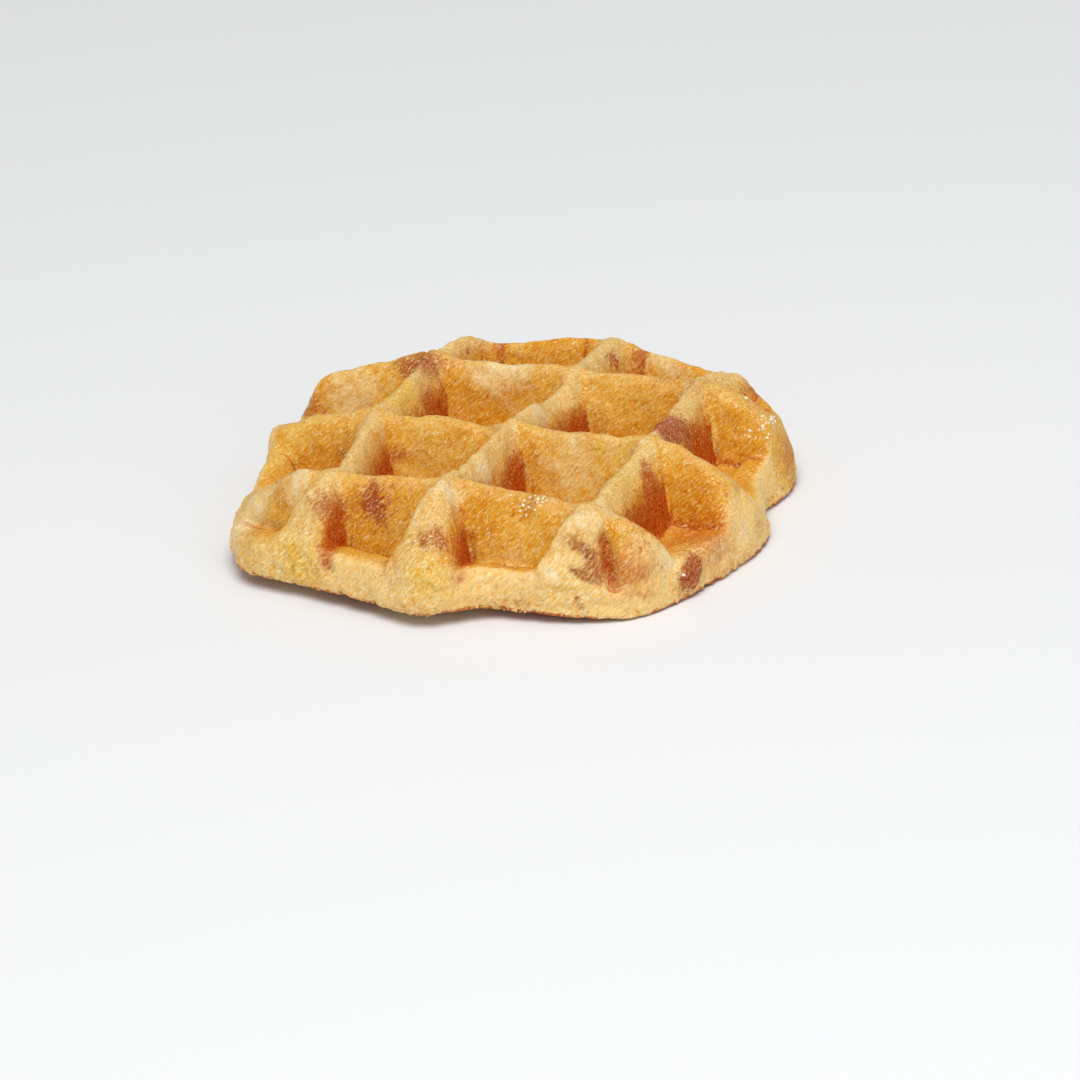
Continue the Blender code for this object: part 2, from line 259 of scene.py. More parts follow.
# The dark paint on the flanks is partly deeper browning and partly painted shade in the pits. Flanks that
# face left are paler than those that face right, and so are those at the back
LEFT_FLANK = 0.3
BACK_FLANK = 0.5
BACK_BEGINS = (26 * MM, 5 * MM)
# Painted shade along the creases at the feet of the walls: how wide it is, and the depth it begins at and
# fades over
CREASE_WIDTH = 0.5 * MM
CREASE_DEPTH = (1.6 / 3, 1 / 3)
# The pits' colours fade towards the rim over this width, and the rim's own colour is narrower
RIM_MARGIN = 5 * MM
RIM_WIDTH = 3.8 * MM
# How much each place in a pit browns, and which depths that is at. The extra orange at the feet of the
# walls and on the floors of the pits is partly browning and partly painted shade
LEAST_HEAT = 0.1
WALL_HEAT = 0.3
WALL_BEGINS = (0, 0.2)
LOW_WALL_BEGINS = (1.3 / 3, 1 / 3)
LOW_WALL_PALER = 0.5
FOOT_HEAT = 0.12
FOOT_HEIGHT = (0.6 * MM, 1.6 * MM)
SIDE_HEAT = 0.25
SIDE_ENDS = (11 * MM, 6 * MM)
SIDE_DEPTH = (0, 1 / 2.2)
FLOOR_HEAT = 0.4
FLOOR_BEGINS = (0.88, 0.1)
HEAT_WANDER = (0.3, 17 * MM)
MILD_COOLING = 0.4
# Toasted patches of the underside, which are more towards the rim
TOAST_WANDER = (0.5, 15 * MM)
TOAST_STRETCH = 0.6
TOAST_SHARE = 0.2
RIM_TOAST = (0.5, 14 * MM)
# Crumbs hang on a ragged band low on the rim, in clusters
CRUMB_REACH = 1.2 * MM
CRUMBS_BEGIN = (0.8 * MM, 0.5 * MM)
CRUMBS_END = (3.2 * MM, 1.0 * MM)
CRUMB_WANDER = (1.0, 9 * MM)
CRUMB_SHARE = 0.4
# From this share of the full height up, the crests are drawn round
SOFT_BEGINS = (0.3, 0.4)

# How the skin's fibres lie, as turns about X, Y and Z
FIBRE_TURN = (0.387, -0.695, 0.0)
# Wavelengths of the skin's relief in millimetres, along X, Y and Z
RELIEF_WAVELENGTHS = {
    "Lump": (7, 7, 7),
    "Streak": (1.6, 1.6, 7),
    "Wrinkle": (3.5, 1.5, 3),
    "Tear": (1.9, 1.9, 1.9),
}
RELIEF_DETAIL = 3.0
RELIEF_ROUGHNESS = 0.55
# The relief's noise has its middle a little below this, so that more of it goes in than out
RELIEF_MIDDLE = 0.55
# Pores: how far apart, where their edge and bottom lie in that distance, and how open on the rim
PORE_SPACING = 1.7 * MM
PORE_EDGE = 0.42
PORE_BOTTOM = 0.1
RIM_PORES = 0.12
# More than the relief ever stands out, so that it limits nothing but the underside
OUTWARD_LIMIT = 5 * MM
# Grains of sugar and crumbs: their shape, how many to a square metre, their size, and how uneven
SUGAR = {"Shape": ("GeometryNodeMeshCube",), "Density": 1.8e6, "Size": 0.38 * MM, "Seed": 4}
CRUMBS = {"Shape": ("GeometryNodeMeshIcoSphere",), "Density": 2.5e6, "Size": 0.26 * MM, "Seed": 9}
GRAIN_LEAST = 0.5
GRAIN_MOST = 1.3

# Noises on the crust: wavelengths in millimetres along X, Y and Z, detail and distortion
PATTERNS = {
    # patches that the iron browned unevenly, and mottling within a patch
    "patch": ((9.0, 9.0, 9.0), 2.0, 0.5),
    "mottle": ((2.8, 2.8, 2.8), 4.0, 0.6),
    # dough drawn down the walls
    "streak": ((1.1, 1.1, 4.5), 3.0, 0.4),
    # flecks that browned
    "fleck": ((0.9, 0.9, 1.6), 3.0, 0.8),
    # fibres of the skin, and the wet glints on them, drawn coarser than they are so that they show. The
    # glints weight a wet coat and also make white painted highlights in the colour
    "fibre": ((0.36, 0.36, 1.3), 2.0, 0.5),
    "glint": ((0.28, 0.28, 0.8), 1.0, 0.6),
}
TURNED_PATTERNS = ("fleck", "fibre", "glint")
PATTERN_ROUGHNESS = 0.6
# The crust's colours, one over another: the colour, its mask, the noise that breaks its edge and by
# how much, where it starts and is full, and its strength
LAYERS = [
    ("pale", "all", "patch", 1.8, 0.42, 0.8, 0.55),
    ("orange", "heat", "mottle", 1.7, 0.15, 0.85, 0.75),
    ("orange", "heat", "fleck", 4.0, 0.3, 0.95, 0.6),
    ("pale", "mild", "mottle", 1.2, 0.1, 0.9, 0.8),
    ("crest", "ridge", "mottle", 1.4, 0.1, 1.1, 0.8),
    ("crest", "cross_top", "mottle", 2.0, 0.3, 1.2, 0.35),
    ("rim", "rim", "mottle", 0.9, 0.1, 0.8, 0.8),
    ("gold", "gold", "mottle", 1.2, 0.1, 0.8, 0.8),
    # Cream: pale dough, partly painted highlights on the buttresses and crests
    ("cream", "cream", "mottle", 1.2, 0.1, 1.1, 0.8),
    ("orange", "hot", "fleck", 1.6, 0.1, 1.0, 0.8),
    ("brown", "brown", "fleck", 1.4, 0.1, 1.05, 0.9),
    # Dark on the flanks: partly deeper browning, partly painted shade in the pits
    ("dark", "flank", "streak", 0.9, 0.08, 0.8, 0.98),
    # The dark spots: partly deeper browning, partly painted shade
    ("dark", "dark", "fleck", 1.2, 0.15, 0.95, 0.85),
    # Painted shade along the creases at the feet of the walls
    ("dark", "crease", "fleck", 1.6, 0.25, 0.95, 0.75),
    # Painted shade in the fold beside the right front ridge
    ("dark", "groove", "fleck", 0.7, 0.15, 0.8, 0.9),
    ("red", "red", "fleck", 1.8, 0.15, 0.85, 0.95),
    ("red", "freckle", "mottle", 0.5, 0.97, 1.02, 0.7),
    ("crumb", "under", "fleck", 0.3, 0.4, 0.6, 1.0),
    ("toast", "toast", "mottle", 2.0, 0.25, 0.75, 0.9),
    ("red", "toast", "fleck", 1.8, 0.75, 1.1, 0.8),
    ("caramel", "caramel", "fleck", 1.6, 0.3, 0.7, 1.0),
]
# How strongly the fibres and flecks show: anywhere, and more by each mask
CONTRAST = 0.35
CONTRAST_BY = {"heat": 0.8, "rim": 0.1, "ridge": 0.15}
# How much each mask dulls the painted white highlights and the wet glints
DULL_BY = {"flank": -0.8, "rim": -0.35}
# Which part of the glints' noise is a painted white highlight, and which is wet
WHITE_BEGINS = (0.57, 0.72)
WET_BEGINS = (0.5, 0.68)
WET_ROUGHNESS = 0.25
# How the crust's roughness varies over the middle of a noise, and how much its dark flanks add
NOISE_MIDDLE = (0.3, 0.7)
ROUGHNESS_SPREAD = (-0.08, 0.12)
FLANK_ROUGHNESS = 0.3
# How high streaks and fibres stand beside flecks
FIBRE_HEIGHT = 0.8
# How far apart the small reddish freckles are
FRECKLE_SPACING = 3.0 * MM
# Red light passes furthest into the crumb, as shares of the light depth
LIGHT_REACH = (1.0, 0.5, 0.2)
DOUGH_IOR = 1.45
SUGAR_ROUGHNESS = 0.25
# Loose crumbs: roughness, the size of their browner sides, and which part of a noise is browner
CRUMB_ROUGHNESS = 0.7
CRUMB_PATCH = 1.5 * MM
CRUMB_BROWNS = (0.4, 0.7)
FLOOR_ROUGHNESS = 0.9
FLOOR_GLOSS = 0.1

# The camera stands where the photograph was taken from: degrees round from the front, up, and lean
CAMERA_AZIMUTH = 23.6
CAMERA_ELEVATION = 25.25
CAMERA_LEAN = -4.26
CAMERA_DISTANCE = 1.5
CAMERA_SENSOR = 36.0
# How far the camera sees, and how far the floor reaches each way, in metres
CAMERA_FAR = 20.0
FLOOR_REACH = 4.0
IMAGE_PIXELS = 1080
PIXELS_PER_METRE = 5532.0
# The pixel where the middle crossing of the ridges shows
CROSSING_PIXEL = (514.7, 426.0)
# The lamps: place in metres from the waffle, size and share of the key's power
LIGHTS = {
    "key": ((0.2, -0.45, 1.12), 0.9, 1.0),
    "fill": ((1.0, -0.6, 0.6), 0.9, 0.15),
}


def colour(code):
    """A colour from its sRGB hex code, as linear red, green, blue and alpha."""
    linear = []
    for start in (1, 3, 5):
        level = int(code[start:start + 2], 16) / 255
        linear.append(level / 12.92 if level <= 0.04045 else ((level + 0.055) / 1.055) ** 2.4)
    return (*linear, 1.0)


def add(tree, kind, *inputs, out=0, **settings):
    """Adds a node, sets it up, and fills its inputs in order, or by name from a dict.

    An input that is a socket is linked, and any other is set. Returns one output, or the node
    itself where out is None.
    """
    node = tree.nodes.new(kind)
    for name, value in settings.items():
        setattr(node, name, value)
    named = inputs and isinstance(inputs[0], dict)
    fill(tree, node, inputs[0] if named else dict(enumerate(inputs)))
    return node if out is None else node.outputs[out]


def fill(tree, node, values):
    """Links a node's inputs, or sets those whose value isn't a socket."""
    for name, value in values.items():
        if isinstance(value, bpy.types.NodeSocket):
            tree.links.new(value, node.inputs[name])
        else:
            node.inputs[name].default_value = value


# The form of the dough


def smooth(t):
    """Eases from 0 to 1 as t does."""
    t = np.clip(t, 0, 1)
    return t * t * (3 - 2 * t)


def rising(value, start, width):
    """Eases from 0 to 1 as a value rises past its start, over this width."""
    return smooth((value - start) / width)


def falling(value, end, width):
    """Eases from 1 to 0 as a value rises towards its end, over this width."""
    return smooth((end - value) / width)


def smooth_min(a, b, width):
    """The lower of two heights, with the corner between them rounded off."""
    return np.minimum(a, b) - np.clip(width - np.abs(a - b), 0, None) ** 2 / (4 * width)


def smooth_max(a, b, width):
    """The higher of two heights, with the corner between them filled."""
    return -smooth_min(-a, -b, width)


def waves(x, y, size, length, seed):
    """Uneven ups and downs of about this size and wavelength, from a few crossing sines."""
    random = np.random.default_rng(seed)
    total = 0
    for _ in range(WAVE_COUNT):
        heading = random.uniform(0, np.pi)
        turns = 2 * np.pi / length * random.uniform(*WAVE_TURNS)
        along = x * np.cos(heading) + y * np.sin(heading)
        total = total + np.sin(turns * along + random.uniform(0, 2 * np.pi))
    return size * WAVE_GAIN * total / WAVE_COUNT


def bumps(gx, gy, table):
    """Round lumps and dents, each with its place from the middle crossing, radius and height."""
    total = 0
    for bump_x, bump_y, radius, height in table:
        total = total + height * np.exp(-((gx - bump_x) ** 2 + (gy - bump_y) ** 2) / radius**2)
    return total


def around(values, angle):
    """A smooth closed curve through values at even steps of angle."""
    count = len(values)
    place = (angle / (2 * np.pi) * count) % count
    start = np.floor(place).astype(int)
    t = place - start
    a, b, c, d = [values[(start + step) % count] for step in (-1, 0, 1, 2)]
    return 0.5 * (2 * b + (c - a) * t + (2 * a - 5 * b + 4 * c - d) * t**2 + (3 * b - a - 3 * c + d) * t**3)


def at_crossings(x, y, which, pitch):
    """A value of the crossings, blended between them: 0 is X, 1 is Y and 2 is the height."""
    last = len(CROSSINGS) - 1
    column = np.clip(x / pitch + last / 2, 0, last)
    row = np.clip(y / pitch + last / 2, 0, last)
    i = np.minimum(column.astype(int), last - 1)
    j = np.minimum(row.astype(int), last - 1)
    s = smooth(column - i)
    t = smooth(row - j)
    values = CROSSINGS[:, :, which]
    front = values[j, i] * (1 - s) + values[j, i + 1] * s
    back = values[j + 1, i] * (1 - s) + values[j + 1, i + 1] * s
    return front * (1 - t) + back * t


def from_rim(x, y):
    """The direction of a point, and how far in from the rim it lies."""
    angle = np.arctan2(y, x)
    return angle, around(OUTLINE_RADIUS, angle) - np.hypot(x, y)


def front_lift(gx, gy):
    """How far the front is lifted. gx and gy are measured from the middle crossing."""
    out = gx * LIFT_TOWARDS[0] + gy * LIFT_TOWARDS[1]
    return FRONT_LIFT * rising(out, LIFT_FROM, LIFT_LENGTH)


def shoulder(angle, inside, thickness):
    """The highest that the dough stands at this distance in from the rim."""
    round_off = 1 - np.clip(inside / RIM_UPPER_ROUND, 0, 1)
    edge = RIM_HIGH + (RIM_TOP - RIM_HIGH) * np.sqrt(1 - round_off**2)
    width = around(SHOULDER_WIDTH, angle)
    slope = 1 - (1 - np.clip(inside / width, 0, 1)) ** around(SHOULDER_ROUND, angle)
    rise = thickness + SHOULDER_ABOVE - RIM_TOP
    return edge + rise * slope + SHOULDER_CLEARING * np.clip(inside - width, 0, None)


def dough_fields(x, y, iron):
    """What each point of the blank carries, at places measured from the outline's centre."""
    gx = x - CROSSING_FROM_CENTRE[0]
    gy = y - CROSSING_FROM_CENTRE[1]
    angle, inside = from_rim(x, y)
    lift = front_lift(gx, gy)
    floor = iron.pit_floor + waves(x, y, *FLOOR_WANDER, seed=6) - LIFT_THINNING * lift
    crest = iron.thickness + CREST_SINK + at_crossings(gx, gy, 2, iron.pitch)
    crest = crest + waves(x, y, *CREST_WANDER, seed=5) + bumps(gx, gy, LUMPS)
    dents = bumps(gx, gy, DENTS) * smooth(inside / RIM_UPPER_ROUND)
    limit = shoulder(angle, inside, iron.thickness) + dents
    return {
        "across": gx - at_crossings(gx, gy, 0, iron.pitch) + waves(x, y, *LINE_WANDER, seed=3),
        "along": gy - at_crossings(gx, gy, 1, iron.pitch) + waves(x, y, *LINE_WANDER, seed=4),
        "inside": inside,
        "floor": floor,
        "crest": crest,
        "flare": FRONT_FLARE * falling(gy, FLARE_FROM, FLARE_LENGTH),
        "lip": np.maximum(around(LIP_HEIGHT, angle) + CREST_SINK, floor),
        "limit": limit + CREST_SINK * smooth(inside / SINK_BEGINS),
        "lift": lift,
    }


def from_ridge(place, pitch):
    """The distance to the nearest ridge line, of lines spaced by the pitch."""
    return np.abs((place / pitch + 0.5) % 1 - 0.5) * pitch


def wall(distance, half_width, slope, floor, limit, iron):
    """A pit's wall, rising from its foot to a rounded crest at the limit."""
    rise = smooth_max((half_width - distance) * slope + floor, floor, iron.corner_round)
    return smooth_min(rise, limit, iron.crest_round)


def ridge_heights(dough, iron):
    """The heights that the ridges running down and across would have with nothing else there."""
    down = from_ridge(dough["across"], iron.pitch) - dough["flare"]
    cross = from_ridge(dough["along"], iron.pitch)
    down = wall(down, iron.down_half_width, iron.down_slope, dough["floor"], dough["crest"], iron)
    cross = wall(cross, iron.cross_half_width, iron.cross_slope, dough["floor"], dough["crest"], iron)
    return down, cross


def pressed_height(x, y, iron):
    """The height that the iron leaves, which also tells how the blank's points are spread."""
    dough = dough_fields(x, y, iron)
    height = smooth_max(*ridge_heights(dough, iron), iron.corner_round)
    lip = wall(dough["inside"], *LIP, dough["floor"], dough["lip"], iron)
    height = smooth_max(height, lip, iron.corner_round)
    return smooth_min(height, dough["limit"], SHOULDER_BLEND) + dough["lift"]


def plan(across, along):
    """Moves a square's points, from -1 to 1 both ways, out to the waffle's outline."""
    disc_x = across * np.sqrt(1 - along**2 / 2)
    disc_y = along * np.sqrt(1 - across**2 / 2)
    radius = around(OUTLINE_RADIUS, np.arctan2(disc_y, disc_x))
    return disc_x * radius, disc_y * radius


def box_middle():
    """The middle of the outline's box, which the finished piece is centred on."""
    angle = np.linspace(0, 2 * np.pi, OUTLINE_STEPS)
    radius = around(OUTLINE_RADIUS, angle)
    x, y = radius * np.cos(angle), radius * np.sin(angle)
    return (x.min() + x.max()) / 2, (y.min() + y.max()) / 2


def soften(values, reach):
    """Averages a grid of values over a few cells each way."""
    for axis in (0, 1):
        for _ in range(reach):
            ends = np.concatenate([values.take([0], axis), values, values.take([-1], axis)], axis)
            count = values.shape[axis]
            values = (ends.take(range(count), axis) + values + ends.take(range(2, count + 2), axis)) / 3
    return values


def spread_points(cells, iron):
    """The blank's points on the square: drawn together where the iron stretches the dough."""
    even = np.linspace(-1, 1, cells + 1)
    across, along = np.meshgrid(even, even, indexing="ij")
    for _ in range(SPREAD_ROUNDS):
        for axis in (0, 1):
            x, y = plan(across, along)
            points = np.stack([x, y, pressed_height(x, y, iron)])
            step = np.linalg.norm(np.diff(points, axis=axis + 1), axis=0)
            step = soften(step, SPREAD_SOFTENING)
            for line in range(cells + 1):
                pick = (slice(None), line) if axis == 0 else (line, slice(None))
                far = np.concatenate([[0], np.cumsum(step[pick])])
                wanted = np.linspace(0, far[-1], cells + 1)
                across[pick] = np.interp(wanted, far, across[pick].copy())
                along[pick] = np.interp(wanted, far, along[pick].copy())
    return across, along


def stain(points, table, uneven=SPOT_UNEVEN):
    """How strongly each point is coloured by a table of spots, with their rounds pulled uneven."""
    total = np.zeros(len(points))
    x, y, z = points.T
    pull = [waves(x + z, y - z, uneven, SPOT_WAVELENGTH, seed) for seed in SPOT_SEEDS]
    points = points + np.stack(pull, 1)
    for spot_x, spot_y, spot_z, radius, strength in table:
        away = points - MM * np.array([spot_x, spot_y, spot_z])
        total = total + strength * np.exp(-(away**2).sum(1) / (SPOT_SPREAD * radius * MM) ** 2)
    return np.clip(total, 0, 1)


def browning(points, dough, depth, height, from_down):
    """How much the iron browned each point: its walls, their feet and the pits' floors, the last two partly
    painted shade.
    """
    x, y, z = points.T
    walls = rising(depth, *WALL_BEGINS) * (1 - LOW_WALL_PALER * rising(depth, *LOW_WALL_BEGINS))
    foot = np.exp(-((height - dough["floor"] - FOOT_HEIGHT[0]) / FOOT_HEIGHT[1]) ** 2)
    side = falling(from_down, *SIDE_ENDS) * rising(depth, *SIDE_DEPTH)
    heat = WALL_HEAT * walls + FOOT_HEAT * foot + SIDE_HEAT * side
    heat = heat + waves(x + z, y + z, *HEAT_WANDER, seed=8) + FLOOR_HEAT * rising(depth, *FLOOR_BEGINS)
    return heat * smooth(dough["inside"] / RIM_MARGIN) + LEAST_HEAT


def colour_masks(points, dough, iron):
    """Where the crust is pale, browned or dark, and where shade is painted in, worked out from the form and
    the spots.
    """
    x, y, z = points.T
    inside = dough["inside"]
    down, cross = ridge_heights(dough, iron)
    side = ((dough["across"] / iron.pitch + 0.5) % 1 - 0.5) * iron.pitch
    from_down = np.abs(side) - dough["flare"]
    from_cross = from_ridge(dough["along"], iron.pitch)
    height = np.maximum(down, cross)
    depth = (dough["crest"] - height) / (dough["crest"] - dough["floor"])
    on_down = smooth((down - cross) / RIDGES_MEET + 0.5)
    # The flanks' dark paint: partly deeper browning, partly painted shade in the pits
    flank = on_down * rising(from_down, *FLANK_BEGINS) * falling(from_down, *FLANK_ENDS)
    flank = flank * np.where(side > 0, 1.0, LEFT_FLANK) * smooth(inside / RIM_MARGIN)
    flank = flank * (1 - BACK_FLANK * rising(y, *BACK_BEGINS))
    down_foot, cross_foot = from_down - iron.down_half_width, from_cross - iron.cross_half_width
    to_foot = np.minimum(np.abs(down_foot), np.abs(cross_foot))
    # Painted shade along the creases where the walls meet the floor
    crease = np.exp(-(to_foot / CREASE_WIDTH) ** 2) * rising(depth, *CREASE_DEPTH)
    toast = waves(x * TOAST_STRETCH, y, *TOAST_WANDER, seed=21) + TOAST_SHARE
    toast = toast + RIM_TOAST[0] * np.exp(-inside / RIM_TOAST[1])
    ragged = (1 - smooth(inside / CRUMB_REACH)) * rising(z, *CRUMBS_BEGIN)
    ragged = ragged * falling(z - dough["lift"], *CRUMBS_END)
    clusters = smooth(CRUMB_SHARE + waves(x, y, *CRUMB_WANDER, seed=22))
    masks = {name: stain(points, table) for name, table in SPOTS.items()}
    heat = browning(points, dough, depth, height, from_down) + masks["hot"] - MILD_COOLING * masks["mild"]
    for name, (uneven, _, table) in RELIEF_SPOTS.items():
        masks[name] = stain(points, table, uneven)
    masks.update({
        "ridge": on_down * falling(from_down, *RIDGE_TOP),
        "cross_top": (1 - on_down) * falling(from_cross, *CROSS_TOP),
        "crease": crease * smooth(inside / RIM_MARGIN),
        "flank": flank,
        "heat": np.clip(heat, 0, 1),
        "rim": 1 - smooth(inside / RIM_WIDTH),
        "toast": np.clip((1 - dough["pressed"]) * toast, 0, 1),
        "sugar": masks["sugar"] ** 2,
        "crumbs": (1 - masks["brown"]) * ragged * clusters,
    })
    return masks


def blank_mesh(iron):
    """The closed blank: a flat upper grid over a lower one that has the underside's height."""
    cells = BLANK_CELLS
    x, y = plan(*spread_points(cells, iron))
    x, y = x.ravel(), y.ravel()
    dough = dough_fields(x, y, iron)
    round_off = 1 - np.clip(dough["inside"] / RIM_LOWER_ROUND, 0, 1)
    lower = RIM_LOW * (1 - np.sqrt(1 - round_off**2)) + dough["lift"]
    upper = pressed_height(x, y, iron)
    middle_x, middle_y = box_middle()
    x, y = x - middle_x, y - middle_y
    index = np.arange((cells + 1) ** 2).reshape(cells + 1, cells + 1)
    quads = np.stack([index[:-1, :-1], index[1:, :-1], index[1:, 1:], index[:-1, 1:]], -1).reshape(-1, 4)
    count = index.size
    edge = np.concatenate([index[:, 0], index[-1, 1:], index[-2::-1, -1], index[0, -2:0:-1]])
    ahead = np.roll(edge, -1)
    sides = np.stack([edge + count, ahead + count, ahead, edge], -1)
    faces = np.concatenate([quads, quads[:, ::-1] + count, sides])
    points = np.concatenate([np.stack([x, y, upper], 1), np.stack([x, y, lower], 1)])
    mesh = bpy.data.meshes.new("waffle_crust")
    mesh.from_pydata(points.tolist(), [], faces.tolist())
    both = {name: np.tile(values, 2) for name, values in dough.items()}
    both["pressed"] = np.repeat([1.0, 0.0], count)
    level = (upper - dough["lift"] - dough["floor"]) / (dough["crest"] - dough["floor"])
    both["soft"] = np.concatenate([rising(level, *SOFT_BEGINS), np.zeros(count)])
    both.update(colour_masks(points, both, iron))
    for name, values in both.items():
        held = mesh.attributes.new(name, "FLOAT", "POINT")
        held.data.foreach_set("value", values.astype(np.float32))
    mesh.shade_smooth()
    return mesh, range(count, 2 * count)


def new_tree(name, inputs, outputs):
    """An empty tree of Geometry Nodes with these named inputs, each with its socket and value."""
    tree = bpy.data.node_groups.new(name, "GeometryNodeTree")
    for label, (socket, value) in inputs.items():
        made = tree.interface.new_socket(name=label, in_out="INPUT", socket_type=socket)
        if value is not None:
            made.default_value = value
    for label, socket in outputs.items():
        tree.interface.new_socket(name=label, in_out="OUTPUT", socket_type=socket)
    return tree


def rounded_join():
    """Nodes for the lower and the higher of two heights, with their corner rounded."""
    inputs = {"A": (FLOAT, 0.0), "B": (FLOAT, 0.0), "Width": (FLOAT, 1.0)}
    tree = new_tree("rounded_join", inputs, {"Lower": FLOAT, "Higher": FLOAT})
    node = partial(add, tree)
    source = node("NodeGroupInput", out=None).outputs
    a, b, width = source["A"], source["B"], source["Width"]
    apart = node("ShaderNodeMath", node("ShaderNodeMath", a, b, operation="SUBTRACT"), operation="ABSOLUTE")
    near = node("ShaderNodeMath", width, apart, operation="SUBTRACT")
    near = node("ShaderNodeMath", near, 0.0, operation="MAXIMUM")
    dip = node("ShaderNodeMath", near, 2.0, operation="POWER")
    four_widths = node("ShaderNodeMath", width, 4.0, operation="MULTIPLY")
    dip = node("ShaderNodeMath", dip, four_widths, operation="DIVIDE")
    least = node("ShaderNodeMath", a, b, operation="MINIMUM")
    most = node("ShaderNodeMath", a, b, operation="MAXIMUM")
    lower = node("ShaderNodeMath", least, dip, operation="SUBTRACT")
    higher = node("ShaderNodeMath", most, dip, operation="ADD")
    node("NodeGroupOutput", {"Lower": lower, "Higher": higher}, out=None)
    return tree


def pit_wall(join):
    """Nodes for a pit's wall: it rises from its foot to a rounded crest at the limit."""
    names = ["Distance", "Half Width", "Slope", "Floor", "Limit", "Corner Round", "Crest Round"]
    inputs = {name: (FLOAT, 0.0) for name in names}
    tree = new_tree("pit_wall", inputs, {"Height": FLOAT})
    node = partial(add, tree)
    source = node("NodeGroupInput", out=None).outputs
    rise = node("ShaderNodeMath", source["Half Width"], source["Distance"], operation="SUBTRACT")
    rise = node("ShaderNodeMath", rise, source["Slope"], source["Floor"], operation="MULTIPLY_ADD")
    rise = node("GeometryNodeGroup", rise, source["Floor"], source["Corner Round"],
                out="Higher", node_tree=join)
    height = node("GeometryNodeGroup", rise, source["Limit"], source["Crest Round"],
                  out="Lower", node_tree=join)
    node("NodeGroupOutput", {"Height": height}, out=None)
    return tree


def press_sizes(iron, skin):
    """The sizes that the pressing tree takes as its inputs."""
    return {
        "Pitch": iron.pitch, "Down Half Width": iron.down_half_width, "Down Slope": iron.down_slope,
        "Cross Half Width": iron.cross_half_width, "Cross Slope": iron.cross_slope,
        "Lip Half Width": LIP[0], "Lip Slope": LIP[1], "Crest Round": iron.crest_round,
        "Corner Round": iron.corner_round, "Shoulder Blend": SHOULDER_BLEND, "Rounding": iron.rounding,
        "Lump": skin.lump, "Streak": skin.streak, "Wrinkle": skin.wrinkle,
        "Tear": skin.tear, "Pore": skin.pore,
    }


def press_tree(sizes, material):
    """The tree that presses the pits, then roughens the skin, tears the rim and opens its pores."""
    join = rounded_join()
    wall_tree = pit_wall(join)
    inputs = {"Blank": ("NodeSocketGeometry", None)}
    for name, value in sizes.items():
        inputs[name] = ("NodeSocketInt" if isinstance(value, int) else FLOAT, value)
    tree = new_tree("press_waffle", inputs, {"Waffle": "NodeSocketGeometry"})
    node = partial(add, tree)
    source = node("NodeGroupInput", out=None).outputs
    carried = {}
    for name in ("across", "along", "inside", "floor", "crest", "flare", "lip", "limit", "lift",
                 "pressed", "soft", "ridge", "rim", "groove", "swell"):
        carried[name] = node("GeometryNodeInputNamedAttribute", {"Name": name}, data_type="FLOAT")
    half_pitch = node("ShaderNodeMath", source["Pitch"], 0.5, operation="MULTIPLY")
    down = node("ShaderNodeMath", carried["across"], half_pitch, operation="PINGPONG")
    down = node("ShaderNodeMath", down, carried["flare"], operation="SUBTRACT")
    cross = node("ShaderNodeMath", carried["along"], half_pitch, operation="PINGPONG")
    walls = []
    ridges = {"Down": (down, "crest"), "Cross": (cross, "crest"), "Lip": (carried["inside"], "lip")}
    for name, (away, top) in ridges.items():
        walls.append(node("GeometryNodeGroup", away, source[f"{name} Half Width"], source[f"{name} Slope"],
                          carried["floor"], carried[top], source["Corner Round"], source["Crest Round"],
                          node_tree=wall_tree))
    height = walls[0]
    for other in walls[1:]:
        height = node("GeometryNodeGroup", height, other, source["Corner Round"],
                      out="Higher", node_tree=join)
    height = node("GeometryNodeGroup", height, carried["limit"], source["Shoulder Blend"],
                  out="Lower", node_tree=join)
    height = node("ShaderNodeMath", height, carried["lift"], operation="ADD")
    place = node("GeometryNodeInputPosition")
    parts = node("ShaderNodeSeparateXYZ", place, out=None).outputs
    above = node("ShaderNodeCombineXYZ", parts["X"], parts["Y"], height)
    pressed = node("GeometryNodeSetPosition", {"Geometry": source["Blank"], "Selection": carried["pressed"],
                                               "Position": above})
    eased = node("GeometryNodeBlurAttribute", {"Value": place, "Iterations": source["Rounding"],
                                               "Weight": carried["soft"]}, data_type="FLOAT_VECTOR")
    pressed = node("GeometryNodeSetPosition", {"Geometry": pressed, "Position": eased})
    relief = skin_relief(node, source, carried)
    normal = node("GeometryNodeInputNormal")
    push = node("ShaderNodeVectorMath", {"Vector": normal, "Scale": relief}, operation="SCALE")
    baked = node("GeometryNodeSetPosition", {"Geometry": pressed, "Offset": push})
    baked = node("GeometryNodeRealizeInstances", {"Geometry": baked})
    baked = node("GeometryNodeSetMaterial", {"Geometry": baked, "Material": material})
    node("NodeGroupOutput", {"Waffle": baked}, out=None)
    return tree


